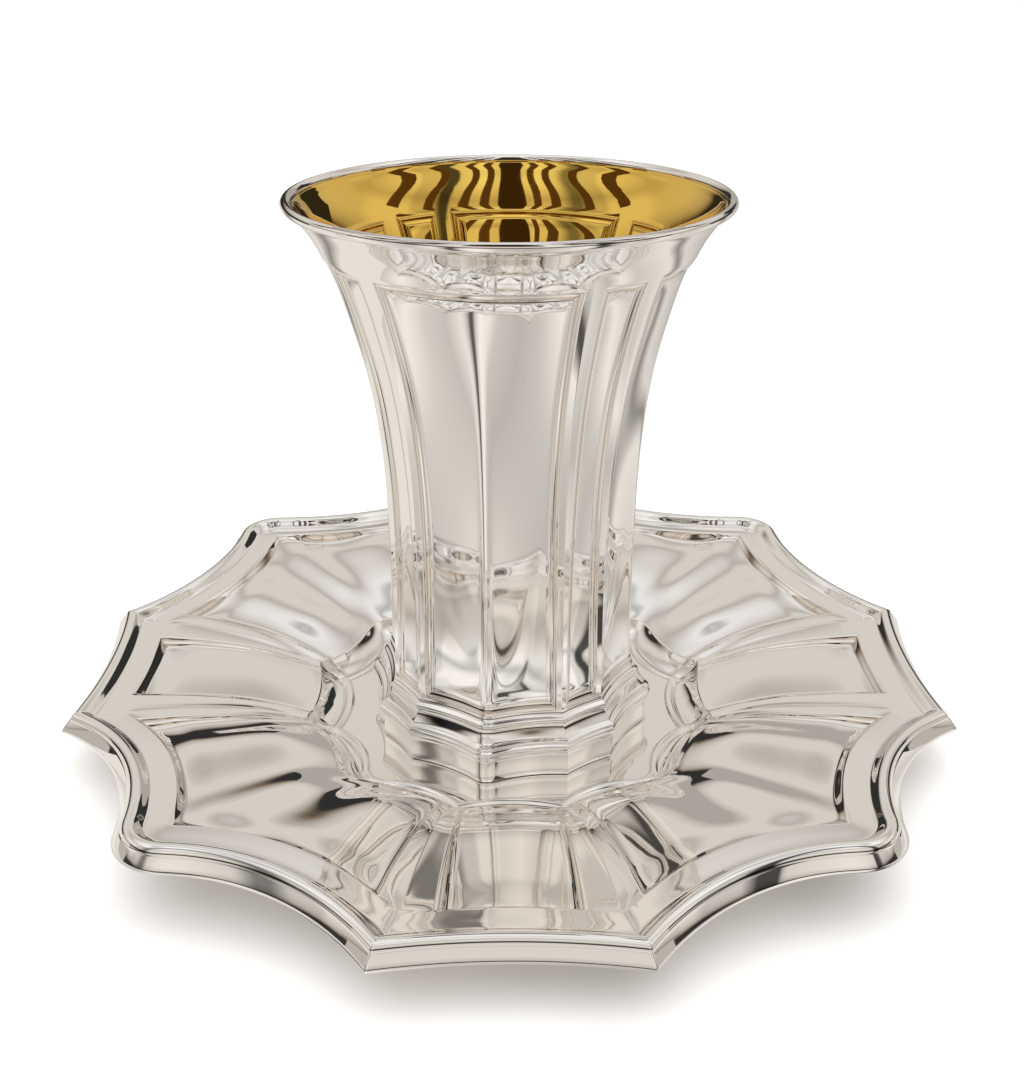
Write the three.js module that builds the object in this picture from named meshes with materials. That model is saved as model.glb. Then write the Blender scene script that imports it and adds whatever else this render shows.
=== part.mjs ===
// A kiddush cup standing in the well of its saucer. Millimetres, +Z up.
// The origin is the middle of the saucer's flat underside, where the set stands on a table.
// Both pieces are sheet silver. Their plan is a twelve-cornered scallop with four-fold symmetry:
// eight sharp tips, in pairs, and one round lobe between each two pairs.
import * as THREE from "three";
import { mergeVertices } from "three/addons/utils/BufferGeometryUtils.js";

// ---- Driving dimensions ----
const REST_GAP = 0.3; // between the cup's foot and the saucer's well floor
const CUP_TURN = -10.3; // degrees that the cup is turned about Z in the saucer
const QUARTER = 90;
const LOBE_ANGLE = 45; // from the middle of a tip pair to the lobe beside it

const SAUCER = {
  sheet: 1.0,
  tipCrest: 11.2, // height of the rim's bead at the tips
  lobeLift: 2.4, // how much higher the bead stands at the lobes
  beadWidth: 2.8,
  beadFall: 0.7, // from the bead's crest down to its inner edge
  borderWidth: 4.6,
  borderFall: 0.9, // from the bead's crest down to the border's inner edge
  panelStep: 0.8, // how deep the panels lie below the border and the ribs
  stepWidth: 0.6,
  skirtDrop: 3.4,
  skirtFlare: 1.4,
  ribNarrowSide: 5.2, // rib half width at the border, on its narrow panel's side
  ribWideSide: 4.0,
  ribEnd: 1.1, // rib half width at the well
};

// The dish falls gently from the border and ever more steeply towards the well. Each row is
// a share of the way from the well's outline to the panels' outer edge, and its height.
const DISH = [
  { share: 0.12, height: 4.3 },
  { share: 0.24, height: 5.9 },
  { share: 0.42, height: 7.8 },
  { share: 0.7, height: 9.3 },
];

const CUP = {
  sheet: 0.9,
  bandHeight: 4.7, // upright band of the foot
  recess: 3.0, // hollow under the foot
  footWall: 1.5,
  beadProud: 0.7,
  beadHeight: 1.0,
  beadSlope: 0.6, // height of the slopes above and below the bead
  neckIn: 0.7, // groove between the bead and the body
  floorRise: 5.5, // inside floor above the foot's lower edge
  floorRound: 3.0, // how far the floor's corner is rounded in
  bodyStart: 10.8, // above the foot's lower edge
  panelTop: 83.4,
  panelStep: 0.5,
  stepWidth: 0.6,
  ribTop: 1.8, // rib half width at the top of the panels
  ribFoot: 1.1,
  roundStart: 36, // above this height the scallop melts into the round rim
  roundEnd: 92,
  rimRadius: 35.8,
  height: 94.5,
  lipHeight: 0.9,
  lipRound: 0.2,
};

// Trumpet profile of the panelled wall, and of the plain band between the panels and the lip.
// Heights are above the foot's lower edge.
const PANELLED_WALL = [
  { radius: 22.7, height: 11.8 },
  { radius: 22.6, height: 36 },
  { radius: 23.2, height: 54 },
  { radius: 24.7, height: 67 },
  { radius: 26.8, height: 76 },
  { radius: 29.0, height: CUP.panelTop },
];
const PLAIN_BAND = [
  { radius: 29.3, height: CUP.panelTop + CUP.stepWidth },
  { radius: 31.9, height: 89.4 },
  { radius: 34.4, height: 92.8 },
];

// Plan outlines: tip corners, the shallow side between a pair of tips, and the hollow
// side from a tip to its lobe, which is one arc running smoothly into the lobe's arc.
const SAUCER_RIM = { tipRadius: 78, tipAngle: 14, side: 74.1, lobe: 79.3, round: 8, hollow: 40 };
const SAUCER_WELL = { tipRadius: 33.7, tipAngle: 15.2, side: 31, lobe: 34.8, round: 4, hollow: 16.5 };
const CUP_FOOT = { tipRadius: 24.7, tipAngle: 11.1, side: 23.9, lobe: 25.4, round: 3, hollow: 27 };
const CUP_BODY = { tipRadius: 22.1, tipAngle: 11.1, side: 21.4, lobe: 22.7, round: 2.5, hollow: 32 };

const radians = THREE.MathUtils.degToRad;
const degrees = THREE.MathUtils.radToDeg;
const mix = THREE.MathUtils.lerp;

// ---- Plan outlines ----

// Distance from the origin to a circle, along a ray at an angle.
function rayToCircle(circle, angle, far) {
  const direction = new THREE.Vector2(Math.cos(radians(angle)), Math.sin(radians(angle)));
  const along = circle.centre.dot(direction);
  const reach = along * along - circle.centre.lengthSq() + circle.radius * circle.radius;
  const half = Math.sqrt(Math.max(reach, 0));
  return far ? along + half : along - half;
}

// The two points where circles meet, the one farther from the origin first.
function circlesMeet(first, second) {
  const between = second.centre.clone().sub(first.centre);
  const distance = between.length();
  const squares = first.radius ** 2 - second.radius ** 2 + distance ** 2;
  const along = squares / (2 * distance);
  const across = Math.sqrt(Math.max(first.radius ** 2 - along ** 2, 0));
  const unit = between.normalize();
  const side = new THREE.Vector2(-unit.y, unit.x);
  const points = [across, -across].map((step) =>
    first.centre.clone().addScaledVector(unit, along).addScaledVector(side, step));
  return points.sort((a, b) => b.length() - a.length());
}

// A scallop gives its radius at an angle from the middle of a tip pair, 0 to 45 degrees,
// and the angle of its tip, both for a line that runs inset inside the outline.
function scallop({ tipRadius, tipAngle, side, lobe, round, hollow }) {
  const tip = new THREE.Vector2(tipRadius, 0).rotateAround(new THREE.Vector2(), radians(tipAngle));
  const sag = tip.x - side;
  const sideRadius = (tip.y ** 2 + sag ** 2) / (2 * sag);
  const sideCentre = new THREE.Vector2(side + sideRadius, 0);
  const lobeAxis = new THREE.Vector2(Math.SQRT1_2, Math.SQRT1_2);
  const lobeCentre = lobeAxis.multiplyScalar(lobe - round);
  const [hollowCentre] = circlesMeet(
    { centre: tip, radius: hollow },
    { centre: lobeCentre, radius: hollow + round },
  );

  const arcs = (inset) => ({
    side: { centre: sideCentre, radius: sideRadius + inset },
    hollow: { centre: hollowCentre, radius: hollow + inset },
    lobe: { centre: lobeCentre, radius: round - inset },
  });

  const tipAt = (inset) => {
    const { side: sideArc, hollow: hollowArc } = arcs(inset);
    const corner = circlesMeet(sideArc, hollowArc)[1];
    return degrees(corner.angle());
  };

  const lobeStart = (inset) => {
    const toHollow = hollowCentre.clone().sub(lobeCentre).setLength(Math.max(round - inset, 0));
    return degrees(lobeCentre.clone().add(toHollow).angle());
  };

  const radiusAt = (angle, inset) => {
    const { side: sideArc, hollow: hollowArc, lobe: lobeArc } = arcs(inset);
    if (angle < tipAt(inset)) return rayToCircle(sideArc, angle, false);
    if (lobeArc.radius > 0 && angle > lobeStart(inset)) return rayToCircle(lobeArc, angle, true);
    return rayToCircle(hollowArc, angle, false);
  };

  return { tipAt, radiusAt };
}

// ---- Carved lathe: a turned wall whose stations follow the scallop, ribs and panels ----

const WIDE_STEPS = 4; // divisions of a wide panel between its rib and its lobe
const HALF_COLUMNS = ["narrow", "narrowEdge", "ribNarrow", "tip", "ribWide", "wideEdge"];
for (let step = 1; step < WIDE_STEPS; step += 1) HALF_COLUMNS.push(step / WIDE_STEPS);
const QUARTER_COLUMNS = [
  { kind: "lobe", sign: -1 },
  ...HALF_COLUMNS.map((kind) => ({ kind, sign: -1 })).reverse(),
  { kind: "axis", sign: 1 },
  ...HALF_COLUMNS.map((kind) => ({ kind, sign: 1 })),
];
const COLUMN_COUNT = QUARTER_COLUMNS.length * 4;

// Angles where the panels' edges cross a station, from the rib's half widths there.
function panelEdges(tipAngle, radius, narrowSide, wideSide, stepWidth) {
  const spread = (width) => degrees(Math.asin(width / radius));
  return {
    tip: tipAngle,
    narrowEdge: tipAngle - spread(narrowSide + stepWidth),
    ribNarrow: tipAngle - spread(narrowSide),
    ribWide: tipAngle + spread(wideSide),
    wideEdge: tipAngle + spread(wideSide + stepWidth),
  };
}

function columnAngle(kind, edges) {
  if (kind === "axis") return 0;
  if (kind === "narrow") return edges.narrowEdge / 2;
  if (kind === "lobe") return LOBE_ANGLE;
  if (typeof kind === "number") return mix(edges.wideEdge, LOBE_ANGLE, kind);
  return edges[kind];
}

const onRib = (kind) => ["ribNarrow", "tip", "ribWide"].includes(kind);

// A station is one line round the wall: radiusAt and heightAt by angle, the angles of the
// panels' edges, and the offset of the panels from the ribs, outwards and upwards.
function carvedLathe(stations, turn) {
  const profile = stations.map((station) =>
    new THREE.Vector2(station.radiusAt(LOBE_ANGLE), station.heightAt(LOBE_ANGLE)));
  const lathe = new THREE.LatheGeometry(profile, COLUMN_COUNT);
  const position = lathe.attributes.position;
  for (let column = 0; column <= COLUMN_COUNT; column += 1) {
    const quarter = Math.floor(column / QUARTER_COLUMNS.length) * QUARTER;
    const { kind, sign } = QUARTER_COLUMNS[column % QUARTER_COLUMNS.length];
    stations.forEach((station, row) => {
      const angle = columnAngle(kind, station.edges);
      const [outwards, upwards] = onRib(kind) ? [0, 0] : station.panel;
      const radius = Math.max(station.radiusAt(angle) + outwards, 0);
      const azimuth = radians(quarter + sign * angle + turn);
      const vertex = column * stations.length + row;
      const height = station.heightAt(angle) + upwards;
      position.setXYZ(vertex, radius * Math.cos(azimuth), radius * Math.sin(azimuth), height);
    });
  }
  lathe.deleteAttribute("normal");
  lathe.deleteAttribute("uv");
  const closed = mergeVertices(lathe, 1e-4);
  closed.computeVertexNormals();
  return closed;
}

const NO_PANEL = [0, 0];

// ---- Saucer ----

// Height of the rim above its tips' height, at an angle.
function rimLift(angle) {
  const share = (angle - SAUCER_RIM.tipAngle) / (LOBE_ANGLE - SAUCER_RIM.tipAngle);
  return SAUCER.lobeLift * Math.sin(Math.max(share, 0) * Math.PI / 2);
}

function makeSaucer() {
  const rim = scallop(SAUCER_RIM);
  const well = scallop(SAUCER_WELL);
  const { sheet, beadWidth, borderWidth, borderFall, panelStep, stepWidth } = SAUCER;
  const { skirtDrop, skirtFlare } = SAUCER;
  const borderInset = beadWidth + borderWidth;
  const panelInset = borderInset + stepWidth;
  const beadRound = beadWidth * 0.6; // inset of the bead's crest
  const slopedSheet = 0.85 * sheet; // wall thickness measured upright in the sloping dish
  const footRound = 0.5; // how far the flat underside reaches beyond the well's outline

  const edgesAt = (share, tipAngle, radius) => panelEdges(
    tipAngle,
    radius,
    mix(SAUCER.ribEnd, SAUCER.ribNarrowSide, share),
    mix(SAUCER.ribEnd, SAUCER.ribWideSide, share),
    stepWidth,
  );

  // Rim stations run inside the rim's outline and rise with the lobes.
  const rimStation = (inset, drop, panelDrop = 0) => ({
    radiusAt: (angle) => rim.radiusAt(angle, inset),
    heightAt: (angle) => SAUCER.tipCrest + rimLift(angle) - drop,
    edges: edgesAt(1, rim.tipAt(inset), rim.radiusAt(rim.tipAt(inset), inset)),
    panel: [0, -panelDrop],
  });

  // Dish stations lie a share of the way from the well's outline to the panels' outer edge,
  // where the steps round the panels are deepest.
  const dishStation = (share, height, outwards = 0) => {
    const tipAngle = mix(well.tipAt(0), rim.tipAt(panelInset), share);
    const radiusAt = (angle) => {
      const inner = well.radiusAt(angle, 0);
      return mix(inner, rim.radiusAt(angle, panelInset), share) + outwards;
    };
    return {
      radiusAt,
      heightAt: (angle) => height + rimLift(angle) * share ** 3,
      edges: edgesAt(share, tipAngle, radiusAt(tipAngle)),
      panel: [0, -panelStep * share],
    };
  };

  const axis = (height) => ({
    radiusAt: () => 0,
    heightAt: () => height,
    edges: edgesAt(0, well.tipAt(0), SAUCER_WELL.tipRadius),
    panel: NO_PANEL,
  });

  const wallUnder = ({ share, height }) =>
    dishStation(share, height - slopedSheet, (1 - share) * slopedSheet);

  return [
    axis(0),
    dishStation(0, 0, footRound),
    ...DISH.map(wallUnder),
    rimStation(panelInset, borderFall + sheet, panelStep),
    rimStation(borderInset, borderFall + sheet),
    rimStation(beadWidth, borderFall + sheet),
    rimStation(sheet, sheet + SAUCER.beadFall),
    rimStation(sheet - skirtFlare, skirtDrop),
    rimStation(-skirtFlare, skirtDrop),
    rimStation(0, borderFall),
    rimStation(beadRound / 3, borderFall / 9),
    rimStation(beadRound, 0),
    rimStation(beadWidth, SAUCER.beadFall),
    rimStation(borderInset, borderFall),
    rimStation(panelInset, borderFall, panelStep),
    ...DISH.map(({ share, height }) => dishStation(share, height)).reverse(),
    dishStation(0, sheet),
    axis(sheet),
  ];
}

// ---- Cup ----

function makeCup() {
  const foot = scallop(CUP_FOOT);
  const body = scallop(CUP_BODY);
  const { sheet, stepWidth, bandHeight, bodyStart, beadProud, beadSlope, floorRound } = CUP;
  const base = SAUCER.sheet + REST_GAP;
  const beadStart = bandHeight + beadSlope;
  const beadEnd = beadStart + CUP.beadHeight;
  const bodyFlare = 0.8; // how far the foot of the body curves out over the groove

  const ribWidth = (height) => mix(CUP.ribFoot, CUP.ribTop, height / CUP.panelTop);
  const edgesAt = (height, radius) =>
    panelEdges(CUP_FOOT.tipAngle, radius, ribWidth(height), ribWidth(height), stepWidth);

  const footStation = (proud, height) => ({
    radiusAt: (angle) => foot.radiusAt(angle, 0) + proud,
    heightAt: () => base + height,
    edges: edgesAt(0, CUP_FOOT.tipRadius),
    panel: NO_PANEL,
  });

  // A body station has the trumpet's radius at its lobes, and at all angles up high.
  const bodyStation = (radius, height, panelDrop = 0) => {
    const scalloped = 1 - THREE.MathUtils.smoothstep(height, CUP.roundStart, CUP.roundEnd);
    return {
      radiusAt: (angle) => radius + scalloped * (body.radiusAt(angle, 0) - CUP_BODY.lobe),
      heightAt: () => base + height,
      edges: edgesAt(height, radius),
      panel: [-panelDrop, 0],
    };
  };

  const axis = (height) => ({
    radiusAt: () => 0,
    heightAt: () => base + height,
    edges: edgesAt(0, CUP_BODY.lobe),
    panel: NO_PANEL,
  });

  const panelled = (inset) => ({ radius, height }) =>
    bodyStation(radius - inset, height, CUP.panelStep);
  const plain = (inset) => ({ radius, height }) => bodyStation(radius - inset, height);
  const innerFoot = CUP_BODY.lobe - sheet;

  return [
    axis(CUP.recess),
    footStation(-CUP.footWall, CUP.recess),
    footStation(-CUP.footWall, 0),
    footStation(0, 0),
    footStation(0, bandHeight),
    footStation(beadProud, beadStart),
    footStation(beadProud, beadEnd),
    footStation(-CUP.neckIn, beadEnd + beadSlope),
    bodyStation(CUP_BODY.lobe + bodyFlare, bodyStart - 2 * bodyFlare),
    bodyStation(CUP_BODY.lobe, bodyStart),
    ...PANELLED_WALL.map(panelled(0)),
    ...PLAIN_BAND.map(plain(0)),
    bodyStation(CUP.rimRadius, CUP.height - CUP.lipHeight),
    bodyStation(CUP.rimRadius - CUP.lipRound, CUP.height - CUP.lipRound),
    bodyStation(CUP.rimRadius - CUP.lipHeight, CUP.height),
    ...PLAIN_BAND.map(plain(sheet)).reverse(),
    ...PANELLED_WALL.map(panelled(sheet)).reverse(),
    bodyStation(innerFoot - floorRound / 3, CUP.floorRise + floorRound / 2),
    bodyStation(innerFoot - floorRound, CUP.floorRise),
    axis(CUP.floorRise),
  ];
}

// ---- Parts ----

const silver = (name) => {
  const material = new THREE.MeshStandardMaterial({ color: 0xd6d1ca, roughness: 0.08, metalness: 1 });
  material.name = name;
  return material;
};

function part(name, stations, turn) {
  const mesh = new THREE.Mesh(carvedLathe(stations, turn), silver(`${name}_silver`));
  mesh.name = name;
  return mesh;
}

const kiddushCup = new THREE.Group();
kiddushCup.name = "kiddush_cup_and_saucer";
kiddushCup.add(part("saucer", makeSaucer(), 0));
// The cup's lobes would face the saucer's tip pairs but for its turn.
kiddushCup.add(part("cup", makeCup(), LOBE_ANGLE + CUP_TURN));

export default kiddushCup;
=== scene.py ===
"""Looks of the kiddush cup and its saucer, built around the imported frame.

Both pieces are walls of stations: a station is one closed line round the piece, and its vertices lie on
columns that follow the ribs, panels and tips of the scalloped plan. Angles are in degrees. Lengths of the
pieces are in millimetres and become metres where the meshes are made. The studio is in metres.
"""

import math

import bpy
import numpy as np
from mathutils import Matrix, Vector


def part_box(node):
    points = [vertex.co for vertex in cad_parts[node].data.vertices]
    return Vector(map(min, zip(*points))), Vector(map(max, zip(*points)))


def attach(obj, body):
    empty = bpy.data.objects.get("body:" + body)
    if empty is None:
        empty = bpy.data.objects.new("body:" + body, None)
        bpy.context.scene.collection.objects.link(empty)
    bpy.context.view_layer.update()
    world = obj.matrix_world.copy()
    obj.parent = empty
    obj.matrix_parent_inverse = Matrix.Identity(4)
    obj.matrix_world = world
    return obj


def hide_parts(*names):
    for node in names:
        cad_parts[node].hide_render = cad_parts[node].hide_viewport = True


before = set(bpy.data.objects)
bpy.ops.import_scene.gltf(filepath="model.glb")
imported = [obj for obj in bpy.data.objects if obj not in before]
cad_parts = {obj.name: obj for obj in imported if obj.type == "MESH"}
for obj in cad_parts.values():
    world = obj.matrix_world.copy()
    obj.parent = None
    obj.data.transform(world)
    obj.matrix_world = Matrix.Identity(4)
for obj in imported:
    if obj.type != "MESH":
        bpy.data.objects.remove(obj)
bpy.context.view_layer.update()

MM = 0.001
QUARTER = 90.0
LOBE_ANGLE = 45.0  # from the middle of a tip pair to the lobe beside it

CUP_LOW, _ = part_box("cup")
_, SAUCER_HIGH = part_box("saucer")
CUP_BASE = CUP_LOW.z / MM
CUP_TURN = 34.7  # the middle of the cup's first tip pair, about Z from +X

# ---- Plan outline ----


def on_circle(centre, radius, angle, far):
    """Distance from the origin to a circle along rays at these angles."""
    along = centre[0] * np.cos(np.radians(angle)) + centre[1] * np.sin(np.radians(angle))
    reach = along**2 - centre[0] ** 2 - centre[1] ** 2 + radius**2
    half = np.sqrt(np.maximum(reach, 0.0))
    return along + half if far else along - half


def meeting_points(first, first_radius, second, second_radius):
    """Both points where two circles meet, the one nearer the origin first."""
    between = np.subtract(second, first)
    distance = np.hypot(*between)
    along = (first_radius**2 - second_radius**2 + distance**2) / (2 * distance)
    across = math.sqrt(max(first_radius**2 - along**2, 0.0))
    unit = between / distance
    side = np.array([-unit[1], unit[0]])
    points = [first + along * unit + sign * across * side for sign in (-1, 1)]
    return sorted(points, key=lambda point: np.hypot(*point))


class Scallop:
    """A twelve-cornered outline: pairs of sharp tips, and a round lobe between two pairs.

    side is its radius at the middle of a tip pair and lobe its radius at the lobes. rounding is the radius
    of a lobe's own arc, and hollow that of the arc between a tip and a lobe.
    """

    def __init__(self, tip_radius, tip_angle, side, lobe, rounding, hollow):
        self.lobe = lobe
        self.tip_radius = tip_radius
        self.tip_angle = tip_angle
        tip = tip_radius * np.array([math.cos(math.radians(tip_angle)), math.sin(math.radians(tip_angle))])
        sag = tip[0] - side
        self.side_radius = (tip[1] ** 2 + sag**2) / (2 * sag)
        self.side_centre = np.array([side + self.side_radius, 0.0])
        self.rounding = rounding
        self.lobe_centre = (lobe - rounding) * np.array([math.sqrt(0.5), math.sqrt(0.5)])
        self.hollow_radius = hollow
        self.hollow_centre = meeting_points(tip, hollow, self.lobe_centre, hollow + rounding)[1]

    def tip_at(self, inset):
        """Angle of the tip on the line that runs inset inside the outline."""
        corner = meeting_points(
            self.side_centre, self.side_radius + inset, self.hollow_centre, self.hollow_radius + inset
        )[0]
        return math.degrees(math.atan2(corner[1], corner[0]))

    def radius_at(self, angle, inset=0.0):
        side = on_circle(self.side_centre, self.side_radius + inset, angle, False)
        radius = on_circle(self.hollow_centre, self.hollow_radius + inset, angle, False)
        if self.rounding > inset:
            outward = self.hollow_centre - self.lobe_centre
            touch = self.lobe_centre + outward * (self.rounding - inset) / np.hypot(*outward)
            start = math.degrees(math.atan2(touch[1], touch[0]))
            lobe = on_circle(self.lobe_centre, self.rounding - inset, angle, True)
            radius = np.where(angle > start, lobe, radius)
        return np.where(angle < self.tip_at(inset), side, radius)


SAUCER_RIM = Scallop(tip_radius=78, tip_angle=14, side=74.1, lobe=79.3, rounding=8, hollow=40)
SAUCER_WELL = Scallop(tip_radius=33.7, tip_angle=15.2, side=31, lobe=34.8, rounding=4, hollow=16.5)
CUP_FOOT = Scallop(tip_radius=24.7, tip_angle=11.1, side=23.9, lobe=25.4, rounding=3, hollow=27)
CUP_BODY = Scallop(tip_radius=22.1, tip_angle=11.1, side=21.4, lobe=22.7, rounding=2.5, hollow=32)

# ---- Columns ----
# A column is a number from 0 to 6 across half a sector: 0 the middle of a tip pair, 1 and 2 the inner
# and outer edge of the narrow panel's step, 3 the tip, 4 and 5 the wide panel's step, 6 the lobe.

FLANK = np.linspace(0.0, 0.25, 6)  # across one flank of a double step
LEDGE = [0.33, 0.41, 0.5, 0.59, 0.67]  # across the wire on its ledge
STEP = np.concatenate([FLANK, LEDGE, 0.75 + FLANK[:-1]])
RIB = np.array([0.0, 0.06, 0.16, 0.32, 0.5, 0.7, 0.88])  # from the tip to a step, densest at the tip
WIDE = 1 - (1 - np.linspace(0, 1, 24)[:-1]) ** 1.4  # from the step to the lobe, densest at the lobe
LOBE_COLUMNS = [5.985, 6.0]
COLUMNS = np.concatenate(
    [np.linspace(0, 1, 11), 1 + STEP, [2.0], 3 - RIB, 3 + RIB, 4 + STEP, 5 + WIDE, LOBE_COLUMNS]
)
COLUMNS = np.unique(COLUMNS.round(5))
INTO_PANEL = np.interp(COLUMNS, [0, 1, 2, 4, 5, 6], [1, 1, 0, 0, 1, 1])


def smooth(share):
    share = np.clip(share, 0.0, 1.0)
    return share * share * (3 - 2 * share)


def bevel(share):
    """A straight slope from 0 to 1 with rounded ends."""
    share = np.clip(share, 0.0, 1.0)
    end = 0.25
    mirrored = np.minimum(share, 1 - share)
    rise = np.where(mirrored < end, mirrored**2 / (2 * end), mirrored - end / 2) / (1 - end)
    return np.where(share < 0.5, rise, 1 - rise)


def double_step(share):
    """Depth share of a step with a rounded wire on a ledge half way down."""
    wire = 0.25 * np.sin(math.pi * np.clip((share - 0.25) / 0.5, 0.0, 1.0)) ** 2
    return 0.5 * smooth(share / 0.25) + 0.5 * smooth((share - 0.75) / 0.25) - wire


def column_angles(tip, radius, narrow_side, wide_side, step):
    """Angles of all columns on a line, from its tip and the rib's half widths there."""
    reach = [-narrow_side - step, -narrow_side, 0.0, wide_side, wide_side + step]
    edges = [tip + math.degrees(width / radius) for width in reach]
    return np.interp(COLUMNS, range(7), [0.0, *edges, LOBE_ANGLE])


def smooth_curve(points, at):
    """A smooth curve through points, with the tangents of parabolas through neighbours."""
    x, y = np.array(points, float).T
    span = np.diff(x)
    slope = np.diff(y) / span
    inner = (slope[:-1] * span[1:] + slope[1:] * span[:-1]) / (span[:-1] + span[1:])
    tangent = np.concatenate([[slope[0]], inner, [slope[-1]]])
    at = np.asarray(at, float)
    i = np.clip(np.searchsorted(x, at) - 1, 0, len(x) - 2)
    width = x[i + 1] - x[i]
    t = (at - x[i]) / width
    return (
        y[i] * (1 + 2 * t) * (1 - t) ** 2
        + tangent[i] * width * t * (1 - t) ** 2
        + y[i + 1] * t * t * (3 - 2 * t)
        + tangent[i + 1] * width * t * t * (t - 1)
    )


def rounded_fold(angle, softness):
    """Angles to read an outline at, so that its fold at the lobe is rounded over this many degrees."""
    return LOBE_ANGLE - np.hypot(LOBE_ANGLE - angle, softness)


# ---- Meshes ----


def whole_ring(half):
    """Copies values of half a sector round the whole ring, without turning them."""
    sector = np.concatenate([half[:0:-1], half[:-1]])
    return np.tile(sector, 4)


def ring_angles(half):
    sector = np.concatenate([-half[:0:-1], half[:-1]])
    return np.concatenate([sector + QUARTER * k for k in range(4)])


def faces_between(low, high):
    """Faces between two rings of vertex numbers. A ring on the axis has one vertex."""
    count = max(len(low), len(high))
    for i in range(count):
        j = (i + 1) % count
        if len(low) == 1:
            yield low[0], high[j], high[i]
        elif len(high) == 1:
            yield low[i], low[j], high[0]
        else:
            yield low[i], low[j], high[j], high[i]


def wall_mesh(name, stations, turn=0.0):
    """A closed mesh from stations (angle, radius, height, step depth), the first and last on the axis."""
    points, rings, depths = [], [], []
    for angle, radius, height, depth in stations:
        if np.max(radius) <= 0:
            rings.append([len(points)])
            points.append((0.0, 0.0, float(np.max(height)) * MM))
            depths.append(0.0)
            continue
        turned = np.radians(ring_angles(angle) + turn)
        around = whole_ring(radius) * MM
        upright = whole_ring(np.broadcast_to(height, angle.shape)) * MM
        rings.append(list(range(len(points), len(points) + len(turned))))
        points.extend(zip(around * np.cos(turned), around * np.sin(turned), upright))
        depths.extend(whole_ring(np.broadcast_to(depth, angle.shape)))
    faces = [face for low, high in zip(rings, rings[1:]) for face in faces_between(low, high)]
    mesh = bpy.data.meshes.new(name)
    mesh.from_pydata(points, [], faces)
    mesh.polygons.foreach_set("use_smooth", [True] * len(faces))
    # The step depth is kept for the metals, which paint shade into the steps' flanks from it.
    edge = mesh.attributes.new("step_flank", "FLOAT", "POINT")
    edge.data.foreach_set("value", np.array(depths, np.float32))
    mesh.update()
    piece = bpy.data.objects.new(name, mesh)
    bpy.context.scene.collection.objects.link(piece)
    return piece


def on_axis(height):
    return np.zeros_like(COLUMNS), np.zeros_like(COLUMNS), height, 0.0


# ---- Saucer ----

SAUCER_SHEET = 0.9
TIP_CREST = 11.2
LOBE_LIFT = SAUCER_HIGH.z / MM - TIP_CREST
BEAD_CENTRE, BEAD_ROUND = 1.45, 1.38
BORDER_INSET = 7.4
BORDER_STEP = 1.9
BORDER_SINK = 0.4  # share by which a panel is deeper along the border
BORDER_FALL = 1.28  # from the bead's crest to the border's inner edge
PANEL_DEPTH = 1.08  # below the ribs, along the panels' edges
SAUCER_STEP = 1.3
WELL_STEP = 0.7  # what the steps narrow to at the well
HUMP = 0.9  # swell of a wide panel between its rib and its fold
FOLD = 0.85  # ridge where the two halves of a wide panel meet
FOLD_SOFTNESS = 5.0  # degrees that the fold is rounded over, near the well
WALL_SWELL = 0.35
NARROW_SWELL = 0.3
RIB_CREST = 0.3
RIB_END = 1.1  # half width of a rib at the well
RIB_GAIN_NARROW, RIB_GAIN_WIDE = 4.1, 2.9  # how much wider its two halves are at the border
WELL_FLOOR = 1.0
CORD_INSET, CORD_REACH, CORD_RISE = 1.1, 0.9, 0.55  # the low cord round the well's floor

# The dish and its steep wall at the well, as shares of the way from the well's outline to the border.
DISH_LENGTH = 35.0
WALL_TOP = (0.12, 4.3)
DISH = [WALL_TOP, (0.24, 5.9), (0.42, 7.8), (0.7, 9.3), (1.0, TIP_CREST - BORDER_FALL)]
WALL = [(0.0, WELL_FLOOR), (0.03, 1.3), (0.06, 1.95), (0.09, 2.9), WALL_TOP]

# The rim's section: insets inside the outline, and drops below the bead's crest.
UNDER_RIM = [(BORDER_INSET, 2.0), (4.0, 2.4), (2.6, 1.9), (1.2, 1.9)]
SKIRT = [
    (-0.35, 3.3), (-0.5, 3.4), (-1.2, 3.4), (-1.36, 3.34), (-1.4, 3.2),
    (-1.2, 2.8), (-0.8, 2.2), (-0.4, 1.65), (-0.12, 1.3), (0.0, 1.15),
]
GROOVE = [(2.75, 0.75), (3.05, 1.07), (3.3, 1.32), (3.42, 1.42), (3.56, 1.48), (3.72, 1.5), (3.9, 1.5)]
COVE = [(3.9, 1.5), (4.6, 1.46), (5.7, 1.38), (BORDER_INSET, BORDER_FALL)]

NARROW_SHARE = np.clip(COLUMNS, 0.0, 1.0)
WIDE_SHARE = np.clip(COLUMNS - 5, 0.0, 1.0)
RIB_SHARE = np.clip(1 - np.abs(COLUMNS - 3), 0.0, 1.0)
WALL_WAVE = np.interp(COLUMNS, [0, 1, 2, 3, 4, 5, 5.5, 6], [-1, -0.5, 0.6, 1, 0.5, -0.5, -1, -0.2])


def rim_lift(angle):
    share = (angle - SAUCER_RIM.tip_angle) / (LOBE_ANGLE - SAUCER_RIM.tip_angle)
    return LOBE_LIFT * np.sin(np.maximum(share, 0.0) * math.pi / 2)


def saucer_angles(share, tip, radius):
    narrow_side = RIB_END + RIB_GAIN_NARROW * share
    wide_side = RIB_END + RIB_GAIN_WIDE * share
    step = WELL_STEP + (SAUCER_STEP - WELL_STEP) * share
    return column_angles(tip, radius, narrow_side, wide_side, step)


def rim_station(inset, drop):
    tip = SAUCER_RIM.tip_at(inset)
    angle = saucer_angles(1.0, tip, float(SAUCER_RIM.radius_at(tip, inset)))
    return angle, SAUCER_RIM.radius_at(angle, inset), TIP_CREST + rim_lift(angle) - drop, 0.0


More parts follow.
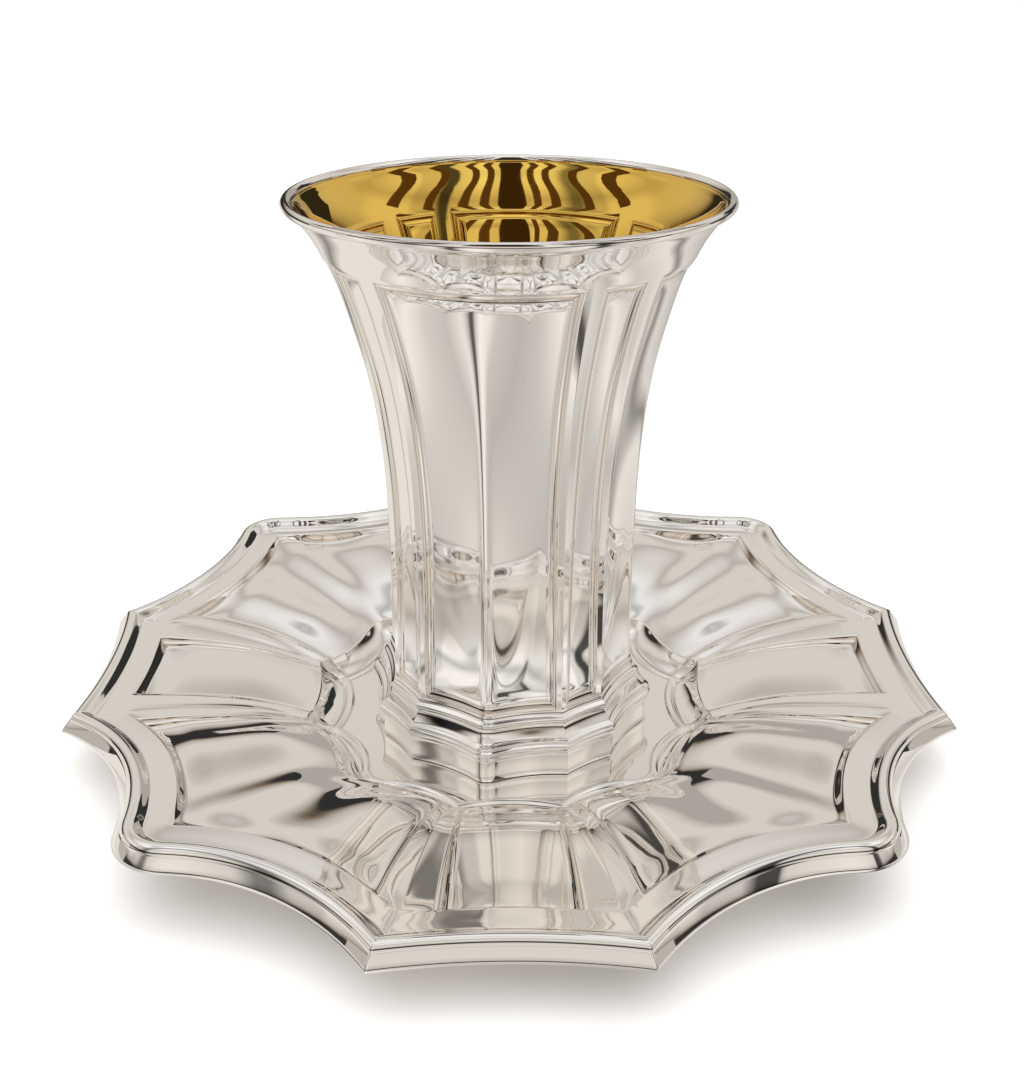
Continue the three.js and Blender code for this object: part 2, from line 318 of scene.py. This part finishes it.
def bead_station(turn):
    """A line on the bead's round, turned from its outer side over its crest."""
    inset = BEAD_CENTRE - BEAD_ROUND * math.cos(math.radians(turn))
    return rim_station(inset, BEAD_ROUND * (1 - math.sin(math.radians(turn))))


def dish_height(share):
    return float(smooth_curve(DISH if share > WALL_TOP[0] else WALL, share))


def dish_relief(share, depth):
    """What the carving adds to the dish's height: sunk panels with swells, ribs with crests, a waved wall.

    A wide panel's hump begins beside its step and ends before the fold, which rises at the lobe.
    """
    sink = min(share * 1.15, 1.0) + BORDER_SINK * float(smooth((share - 0.8) / 0.16))
    beyond_wall = float(smooth((share - 0.13) / 0.3))
    before_border = float(smooth((1.0 - share) / 0.1))
    swell = HUMP * (smooth((WIDE_SHARE - 0.08) / 0.26) - smooth((WIDE_SHARE - 0.38) / 0.38))
    swell += FOLD * (0.75 + 0.4 * share) * smooth((WIDE_SHARE - 0.77) / 0.23)
    swell += NARROW_SWELL * np.cos(math.pi / 2 * NARROW_SHARE)
    crest = RIB_CREST * RIB_SHARE**1.5 * before_border
    relief = beyond_wall * (swell * depth + crest) - PANEL_DEPTH * sink * depth
    return relief + WALL_SWELL * WALL_WAVE * math.sin(math.pi * min(share / 0.16, 1.0))


def dish_station(share, below=0.0, outwards=0.0):
    """A line a share of the way from the well's outline to the border."""
    tip = SAUCER_WELL.tip_at(0) + (SAUCER_RIM.tip_at(BORDER_INSET) - SAUCER_WELL.tip_at(0)) * share

    def radius_at(angle):
        inner = SAUCER_WELL.radius_at(angle)
        return inner + (SAUCER_RIM.radius_at(angle, BORDER_INSET) - inner) * share + outwards

    angle = saucer_angles(share, tip, float(radius_at(tip)))
    beyond_rib = smooth((angle - tip - 6) / 12)
    softness = FOLD_SOFTNESS * (1 - share) ** 0.6 * beyond_rib
    from_border = (1 - share) * DISH_LENGTH / BORDER_STEP
    depth = np.minimum(double_step(INTO_PANEL), bevel(from_border))
    height = dish_height(share) + rim_lift(angle) * share**3 - below + dish_relief(share, depth)
    return angle, radius_at(rounded_fold(angle, softness)), height, depth


def well_station(inset, height):
    """A line on the well's floor, inset inside its outline."""
    angle = saucer_angles(0.0, SAUCER_WELL.tip_at(0), SAUCER_WELL.tip_radius)
    scale = 1 - inset / SAUCER_WELL.lobe
    return angle, SAUCER_WELL.radius_at(angle) * scale, height, 0.0


def cord_station(turn):
    return well_station(CORD_INSET - CORD_REACH * math.cos(turn), WELL_FLOOR + CORD_RISE * math.sin(turn))


def saucer_stations():
    """From the middle of the underside round the skirt and the bead to the middle of the well's floor."""
    under_well = [(4.0, 0.0), (0.6, 0.0), (0.2, 0.05), (-0.1, 0.2)]
    under_dish = [0.04, 0.12, 0.2, 0.3, 0.42, 0.56, 0.7, 0.85, 0.94]
    cove_rows = np.linspace(4.1, BORDER_INSET, 14)
    step_rows = 1 - np.linspace(0.08, 1.0, 12) * BORDER_STEP / DISH_LENGTH
    dish_rows = np.concatenate([np.linspace(step_rows[-1], 0.3, 26)[1:], np.linspace(0.3, 0.13, 12)[1:]])
    wall_rows = np.concatenate([[0.125, 0.12, 0.115], np.linspace(0.105, 0.012, 10)])
    return [
        on_axis(0.0),
        *[well_station(inset, height) for inset, height in under_well],
        *[dish_station(share, SAUCER_SHEET, SAUCER_SHEET * (1 - share)) for share in under_dish],
        *[rim_station(inset, drop) for inset, drop in UNDER_RIM + SKIRT],
        *[bead_station(turn) for turn in np.linspace(12, 137, 12)],
        *[rim_station(inset, drop) for inset, drop in GROOVE],
        *[rim_station(inset, float(smooth_curve(COVE, inset))) for inset in cove_rows],
        *[dish_station(share) for share in step_rows],
        *[dish_station(share) for share in dish_rows],
        *[dish_station(share) for share in wall_rows],
        *[cord_station(turn) for turn in np.linspace(0.2, math.pi, 12)],
        *[well_station(inset, WELL_FLOOR) for inset in (2.15, 2.5, 8.0, 20.0)],
        on_axis(WELL_FLOOR),
    ]


# ---- Cup ----

CUP_DEPTH = 0.6  # of the panels below the ribs
CUP_STEP = 1.5
PANEL_TOP = 84.4
PANEL_FOOT = 11.3
ROUND_START, ROUND_END = 36.0, 92.0  # heights between which the scallop melts into the round rim
BODY_FOLD = 1.8  # degrees that the fold at the lobe is rounded over
# Insets inside the body's outline: the silver's inner side, the gilding's hidden side and its shown side.
SILVER_SHEET = 0.3
GILT_BACK = 0.6
CUP_SHEET = 0.9
GILT_RELIEF = 1.5  # how much deeper the panels' steps are on the gilding

# Heights above the cup's lower edge with radii at the lobes.
TRUMPET = [
    (10.8, 22.7), (36, 22.6), (54, 23.2), (67, 24.7), (76, 26.8), (84, 29.3), (89.4, 31.9), (92.8, 34.4),
]

# The foot from its recess to the groove: how far each row stands proud of the outline, and its height.
RECESS_TOP = 3.0
FOOT_RECESS = [(-1.5, RECESS_TOP), (-1.5, 0.0), (-1.4, -0.2), (-0.3, -0.2), (-0.08, -0.14)]
FOOT_BAND = [(0.0, 0.05), (-0.05, 1.2), (-0.07, 2.4), (-0.05, 3.6), (0.0, 4.3), (-0.08, 4.5), (-0.3, 4.6)]
FOOT_BEAD = [
    (-0.34, 4.75), (-0.2, 4.85), (0.25, 4.95), (0.55, 5.15), (0.7, 5.45), (0.7, 5.75), (0.55, 6.0),
    (0.3, 6.12), (0.24, 6.2), (0.34, 6.28), (0.45, 6.45), (0.4, 6.65), (0.2, 6.8),
]
FOOT_GROOVE = [(-0.35, 6.9), (-0.6, 7.0), (-0.8, 7.25)]
FOOT = FOOT_RECESS + FOOT_BAND + FOOT_BEAD + FOOT_GROOVE
# The neck under the body, as rows of height and how far each stands proud of the body.
NECK = [
    (7.9, 1.35), (8.5, 0.95), (9.1, 0.8), (9.3, 0.82), (9.45, 1.0), (9.65, 1.12), (9.9, 1.12),
    (10.1, 0.98), (10.25, 0.7), (10.4, 0.4), (10.7, 0.14), (11.0, 0.03),
]
LIP_CENTRE, LIP_ROUND, LIP_HEIGHT = 35.0, 0.8, 93.7
LIP_START = (34.62, 93.0)
LIP_INSIDE = [(34.75, 94.46), (34.5, 94.3), (34.2, 93.95), (33.95, 93.5), (34.1, 93.3)]
GILT_LIP = [(33.95, 93.45), (33.75, 93.25), (33.5, 92.8)]
SILVER_FLOOR, GILT_FLOOR_BACK, GILT_FLOOR = 5.2, 5.3, 5.5  # heights above the cup's lower edge
SILVER_CORNER, GILT_CORNER_BACK = (8.0, 2.6), (6.2, 3.6)  # heights and insets
# The rounding from the gilt wall into its floor: heights, and how far each row lies inside the wall.
GILT_FOOT = [(10.4, 0.0), (9.0, 0.1), (7.6, 0.6), (6.8, 1.1), (6.1, 1.9), (5.7, 2.7), (GILT_FLOOR, 3.8)]

STEP_ROWS = CUP_STEP * np.concatenate([STEP, [1.0]])
WALL_HEIGHTS = np.concatenate(
    [PANEL_FOOT + STEP_ROWS, np.linspace(14, 82.5, 38), PANEL_TOP + STEP_ROWS, np.linspace(86.6, 92.8, 10)]
)
HIDDEN_HEIGHTS = [14.0, 24.0, 36.0, 48.0, 60.0, 70.0, 80.0, 84.0, 86.5, 92.0]  # between silver and gilding


# The widths of a rib's narrow side, of its wide side and of a step.
RIB_AT_FOOT = np.array([0.9, 0.8, 0.8])
RIB_GAIN_TO_TOP = np.array([0.9, 0.6, 0.7])


def cup_angles(height, tip, radius):
    return column_angles(tip, radius, *(RIB_AT_FOOT + RIB_GAIN_TO_TOP * (height / PANEL_TOP)))


def foot_station(proud, height):
    angle = cup_angles(0.0, CUP_FOOT.tip_angle, CUP_FOOT.tip_radius)
    return angle, CUP_FOOT.radius_at(angle) + proud, CUP_BASE + height, 0.0


def body_station(height, inset=0.0, proud=0.0, relief=1.0):
    lobe = float(smooth_curve(TRUMPET, min(max(height, TRUMPET[0][0]), TRUMPET[-1][0])))
    angle = cup_angles(min(height, PANEL_TOP), CUP_BODY.tip_angle, lobe)
    scalloped = 1 - smooth((height - ROUND_START) / (ROUND_END - ROUND_START))
    from_ends = min((PANEL_TOP + CUP_STEP - height) / CUP_STEP, (height - PANEL_FOOT) / CUP_STEP)
    depth = double_step(np.minimum(INTO_PANEL, from_ends))
    outline = CUP_BODY.radius_at(rounded_fold(angle, BODY_FOLD)) - CUP_BODY.lobe
    radius = lobe + scalloped * outline - inset + proud
    return angle, radius - CUP_DEPTH * relief * depth, CUP_BASE + height, depth


def round_station(radius, height):
    angle = cup_angles(PANEL_TOP, CUP_BODY.tip_angle, radius)
    return angle, np.full_like(angle, radius), CUP_BASE + height, 0.0


def lip_station(turn):
    """A line on the lip's round, turned from below over its outer side to its top."""
    across = LIP_CENTRE + LIP_ROUND * math.cos(math.radians(turn))
    return round_station(across, LIP_HEIGHT + LIP_ROUND * math.sin(math.radians(turn)))


def cup_silver_stations():
    """From the recess under the foot up the outside, over the lip and down behind the gilding."""
    return [
        on_axis(CUP_BASE + RECESS_TOP),
        *[foot_station(proud, height) for proud, height in FOOT],
        *[body_station(height, proud=proud) for height, proud in NECK],
        *[body_station(height) for height in WALL_HEIGHTS],
        round_station(*LIP_START),
        *[lip_station(turn) for turn in np.linspace(-75, 90, 12)],
        *[round_station(radius, height) for radius, height in LIP_INSIDE],
        *[body_station(height, inset=SILVER_SHEET) for height in reversed(HIDDEN_HEIGHTS)],
        body_station(*SILVER_CORNER),
        on_axis(CUP_BASE + SILVER_FLOOR),
    ]


def cup_gilding_stations():
    """From under the gilt floor up the gilding's hidden back, over its top and down its inside."""
    shown = [height for height in WALL_HEIGHTS if height < 92.4]
    return [
        on_axis(CUP_BASE + GILT_FLOOR_BACK),
        body_station(*GILT_CORNER_BACK),
        *[body_station(height, inset=GILT_BACK) for height in HIDDEN_HEIGHTS],
        *[round_station(radius, height) for radius, height in GILT_LIP],
        *[body_station(height, inset=CUP_SHEET, relief=GILT_RELIEF) for height in reversed(shown)],
        *[body_station(height, inset=CUP_SHEET + more) for height, more in GILT_FOOT],
        on_axis(CUP_BASE + GILT_FLOOR),
    ]


# ---- Shader nodes ----


def new_material(name):
    material = bpy.data.materials.new(name)
    material.use_nodes = True
    return material, material.node_tree.nodes["Principled BSDF"]


def noise(nodes, links, place, scale, detail):
    node = nodes.new("ShaderNodeTexNoise")
    node.inputs["Scale"].default_value = scale
    node.inputs["Detail"].default_value = detail
    links.new(place, node.inputs["Vector"])
    return node.outputs["Fac"]


def map_range(nodes, links, value, start, end):
    """Maps a value from the span start to the span end."""
    node = nodes.new("ShaderNodeMapRange")
    node.inputs["From Min"].default_value, node.inputs["From Max"].default_value = start
    node.inputs["To Min"].default_value, node.inputs["To Max"].default_value = end
    links.new(value, node.inputs["Value"])
    return node.outputs["Result"]


def ramp(nodes, links, value, stops):
    """A colour ramp with (position, grey or colour) stops."""
    node = nodes.new("ShaderNodeValToRGB")
    elements = node.color_ramp.elements
    while len(elements) < len(stops):
        elements.new(0.5)
    for element, (position, tone) in zip(elements, stops):
        colour = tone if isinstance(tone, tuple) else (tone, tone, tone)
        element.position = position
        element.color = (*colour, 1)
    links.new(value, node.inputs["Fac"])
    return node.outputs["Color"]


def azimuth(nodes, links, vector):
    """Share of a turn about Z: 0 at -X, 0.25 towards the camera, 0.5 at +X, 0.75 behind the cup. And Z."""
    parts = nodes.new("ShaderNodeSeparateXYZ")
    links.new(vector, parts.inputs["Vector"])
    turn = nodes.new("ShaderNodeMath")
    turn.operation = "ARCTAN2"
    links.new(parts.outputs["Y"], turn.inputs[0])
    links.new(parts.outputs["X"], turn.inputs[1])
    share = map_range(nodes, links, turn.outputs["Value"], (-math.pi, math.pi), (0.0, 1.0))
    return share, parts.outputs["Z"]


def multiply(nodes, links, first, second):
    mix = nodes.new("ShaderNodeMix")
    mix.data_type = "RGBA"
    mix.blend_type = "MULTIPLY"
    mix.inputs["Factor"].default_value = 1.0
    links.new(first, mix.inputs["A"])
    links.new(second, mix.inputs["B"])
    return mix.outputs["Result"]


# ---- Metals ----


def metal(name, colour, flank_shade, roughness):
    """Polished metal: faint haze and ripples from polishing, and painted shade: a darker base colour in the
    steps' flanks.
    """
    material, shader = new_material(name)
    nodes, links = material.node_tree.nodes, material.node_tree.links
    place = nodes.new("ShaderNodeTexCoord").outputs["Object"]
    shader.inputs["Metallic"].default_value = 1.0

    haze = noise(nodes, links, place, 60.0, 4.0)
    polish = map_range(nodes, links, haze, (0.3, 0.7), (roughness * 0.6, roughness * 1.6))
    links.new(polish, shader.inputs["Roughness"])

    # Painted shade: the base colour turns to the flank shade in the middle of each flank of a step.
    flank = nodes.new("ShaderNodeAttribute")
    flank.attribute_name = "step_flank"
    stops = [
        (0.0, colour), (0.06, colour), (0.25, flank_shade), (0.44, colour),
        (0.56, colour), (0.75, flank_shade), (0.94, colour), (1.0, colour),
    ]
    links.new(ramp(nodes, links, flank.outputs["Fac"], stops), shader.inputs["Base Color"])

    bump = nodes.new("ShaderNodeBump")
    bump.inputs["Strength"].default_value = 0.08
    bump.inputs["Distance"].default_value = 0.00012
    links.new(noise(nodes, links, place, 90.0, 1.0), bump.inputs["Height"])
    links.new(bump.outputs["Normal"], shader.inputs["Normal"])
    return material


def dress(piece, material, node):
    piece.data.materials.append(material)
    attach(piece, "root")
    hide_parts(node)


# Each metal's second colour is the shade painted into the steps' flanks.
SILVER = metal("polished_silver", (0.94, 0.915, 0.885), (0.72, 0.61, 0.5), 0.035)
GILT = metal("polished_gilt", (0.88, 0.58, 0.12), (0.5, 0.26, 0.04), 0.03)

dress(wall_mesh("saucer_dish", saucer_stations()), SILVER, "saucer")
dress(wall_mesh("cup_wall", cup_silver_stations(), CUP_TURN), SILVER, "cup")
dress(wall_mesh("cup_gilding", cup_gilding_stations(), CUP_TURN), GILT, "cup")

# ---- Studio ----
# The camera sees a white floor before a white backdrop. The metal mirrors other things: a grey floor, a
# sky with dark and bright bands, and cards that stand for the soft boxes and flags of a photo studio.

FLOOR_SIZE = 12.0
WARM = (0.69, 0.66, 0.615)
BROWN = (0.22, 0.17, 0.125)
DARK = 0.03
STREAK = (0.1, 0.055, 0.025)


def sheet_object(name, points, faces):
    mesh = bpy.data.meshes.new(name)
    mesh.from_pydata(points, [], faces)
    sheet = bpy.data.objects.new(name, mesh)
    bpy.context.scene.collection.objects.link(sheet)
    return sheet


def floor_sheet(name, height):
    corners = [(-1, -1), (1, -1), (1, 1), (-1, 1)]
    return sheet_object(name, [(x * FLOOR_SIZE, y * FLOOR_SIZE, height) for x, y in corners], [(0, 1, 2, 3)])


def upright_wall(name, reach, low, high, sides):
    """A wall all round, seen from inside."""
    turns = np.linspace(0, 2 * math.pi, sides + 1)[:-1]
    points = [(reach * math.cos(a), reach * math.sin(a), z) for z in (low, high) for a in turns]
    faces = [(i, (i + 1) % sides, sides + (i + 1) % sides, sides + i) for i in range(sides)]
    return sheet_object(name, points, faces)


def matt(name, colour):
    material, shader = new_material(name)
    shader.inputs["Base Color"].default_value = (*colour, 1)
    shader.inputs["Roughness"].default_value = 1.0
    shader.inputs["Specular IOR Level"].default_value = 0.0
    return material


def glow(name):
    """A material that only shines, and the socket of its colour."""
    material, shader = new_material(name)
    shader.inputs["Base Color"].default_value = (0, 0, 0, 1)
    shader.inputs["Specular IOR Level"].default_value = 0.0
    shader.inputs["Emission Strength"].default_value = 1.0
    return material, shader.inputs["Emission Color"]


def only_reflected(sheet):
    sheet.visible_camera = False
    sheet.visible_diffuse = False
    sheet.visible_shadow = False


def shining(sheet, tone):
    material, colour = glow(sheet.name)
    colour.default_value = (*tone, 1)
    sheet.data.materials.append(material)
    only_reflected(sheet)


def card(name, turn, width, low, high, tone):
    """A curved card far away: its middle's angle about Z, its width, and its lower and upper edges' angles
    above the horizon."""
    reach, across = 5.0, 9
    points = []
    for rise in (low, high):
        for a in np.radians(np.linspace(turn - width / 2, turn + width / 2, across)):
            level = reach * math.cos(math.radians(rise))
            points.append((level * math.cos(a), level * math.sin(a), reach * math.sin(math.radians(rise))))
    faces = [(i, i + 1, across + i + 1, across + i) for i in range(across - 1)]
    shining(sheet_object(name, points, faces), tone)


def upright_card(name, turn, width, tone, low=0.107):
    """A flat card just above and outside the lip, which the gilding mirrors as an upright streak."""
    reach, high = 0.05, 0.34
    outwards = np.array([math.cos(math.radians(turn)), math.sin(math.radians(turn))])
    across = np.array([-outwards[1], outwards[0]]) * width / 2
    left, right = outwards * reach - across, outwards * reach + across
    points = [(*left, low), (*right, low), (*right, high), (*left, high)]
    shining(sheet_object(name, points, [(0, 1, 2, 3)]), tone)


floor = floor_sheet("floor", 0.0)
floor.data.materials.append(matt("floor_white", (0.94, 0.94, 0.94)))
floor.visible_glossy = False

# The mirrored floor's greys by azimuth share.
FLOOR_TONES = [
    (0.0, 0.6), (0.04, 0.9), (0.08, 0.66), (0.12, 0.56), (0.15, 0.84), (0.163, 0.5), (0.17, 0.1),
    (0.178, 0.1), (0.185, 0.6), (0.2, 0.95), (0.22, 0.86), (0.235, 0.6), (0.275, 0.5), (0.31, 0.6),
    (0.335, 0.78), (0.352, 0.9), (0.362, 0.4), (0.368, 0.08), (0.378, 0.08), (0.386, 0.4), (0.41, 0.72),
    (0.44, 0.52), (0.465, 0.86), (0.5, 0.62), (0.58, 0.8), (0.6, 0.25), (0.62, 0.7), (0.72, 0.35),
    (0.84, 0.75), (0.87, 0.25), (0.9, 0.8),
]


def warm_grey(tone):
    return tone * 1.05, tone, tone * 0.94


mirrored_floor = floor_sheet("floor_in_reflections", 0.00003)
only_reflected(mirrored_floor)
grey, grey_colour = glow("floor_grey")
mirrored_floor.data.materials.append(grey)
floor_nodes, floor_links = grey.node_tree.nodes, grey.node_tree.links
spot = floor_nodes.new("ShaderNodeTexCoord").outputs["Object"]
around, _ = azimuth(floor_nodes, floor_links, spot)
floor_stops = [(share, warm_grey(tone)) for share, tone in FLOOR_TONES]
floor_links.new(ramp(floor_nodes, floor_links, around, floor_stops), grey_colour)

upright_card("card_dark_front", -92, 0.024, (0.04, 0.025, 0.012))
for index, turn in enumerate([-137, -118, -66, -47, -168, -12]):
    upright_card(f"card_brown_{index}", turn, 0.008, STREAK)
for index, turn in enumerate([158, 22]):
    upright_card(f"card_brown_high_{index}", turn, 0.011, STREAK, low=0.13)
card("card_bright_back", 72, 40, 0, 16, (0.42, 0.4, 0.37))
card("card_dark_right", 60, 18, 3, 22, (DARK, DARK, DARK))
for index, turn in enumerate([172, 9]):
    card(f"card_bright_side_{index}", turn, 30, 0, 13, (0.5, 0.475, 0.44))

backdrop = upright_wall("backdrop", reach=10, low=-1.0, high=14.0, sides=32)
white, white_colour = glow("backdrop_white")
white_colour.default_value = (1, 1, 1, 1)
backdrop.data.materials.append(white)
backdrop.visible_glossy = False
backdrop.visible_diffuse = False
backdrop.visible_shadow = False

light = bpy.data.lights.new("overhead", "SUN")
light.energy = 2.5
light.angle = math.radians(110)
lamp = bpy.data.objects.new("overhead", light)
bpy.context.scene.collection.objects.link(lamp)
lamp.rotation_euler = (math.radians(-8), 0.0, 0.0)
lamp.visible_glossy = False

# ---- Sky, which the backdrop hides from the camera ----

# Tones by the sine of the height above the horizon.
SKY_BY_HEIGHT = [
    (0.0, DARK), (0.19, DARK), (0.22, BROWN), (0.26, (0.42, 0.39, 0.35)), (0.32, (0.56, 0.535, 0.5)),
    (0.42, (0.7, 0.67, 0.63)), (0.56, WARM), (0.66, (0.5, 0.475, 0.44)), (0.76, (0.7, 0.675, 0.645)),
    (0.86, 0.84), (0.89, 0.84), (0.93, 0.5), (0.96, 0.88), (0.985, 0.88), (1.0, 0.8),
]
# Shares of those tones by azimuth share.
SKY_BY_TURN = [
    (0.0, 1.2), (0.04, 1.2), (0.05, 0.9), (0.08, 0.9), (0.1, 0.3), (0.115, 0.3), (0.135, 1.0), (0.19, 1.25),
    (0.22, 1.05), (0.28, 1.05), (0.31, 1.25), (0.37, 1.0), (0.375, 0.1), (0.395, 0.1), (0.41, 0.9),
    (0.45, 0.9), (0.46, 1.2), (0.54, 1.2), (0.57, 1.0), (0.75, 1.0), (0.93, 1.0), (0.96, 1.2), (1.0, 1.2),
]

world = bpy.data.worlds.new("studio")
bpy.context.scene.world = world
world.use_nodes = True
sky_nodes, sky_links = world.node_tree.nodes, world.node_tree.links
direction = sky_nodes.new("ShaderNodeTexCoord").outputs["Generated"]
around, upwards = azimuth(sky_nodes, sky_links, direction)
by_height = ramp(sky_nodes, sky_links, upwards, SKY_BY_HEIGHT)
by_turn = ramp(sky_nodes, sky_links, around, SKY_BY_TURN)
sky_links.new(multiply(sky_nodes, sky_links, by_height, by_turn), sky_nodes["Background"].inputs["Color"])

# ---- Camera ----

camera_data = bpy.data.cameras.new("camera")
camera_data.sensor_width = 36.0
camera_data.lens = 44.52
camera_data.clip_start = 0.01
camera = bpy.data.objects.new("camera", camera_data)
bpy.context.scene.collection.objects.link(camera)
camera.location = (-0.00053, -0.2128, 0.13637)
camera.rotation_euler = (math.radians(90 - 25.4), 0.0, -0.0046)
bpy.context.scene.camera = camera
bpy.context.scene.view_settings.view_transform = "Standard"
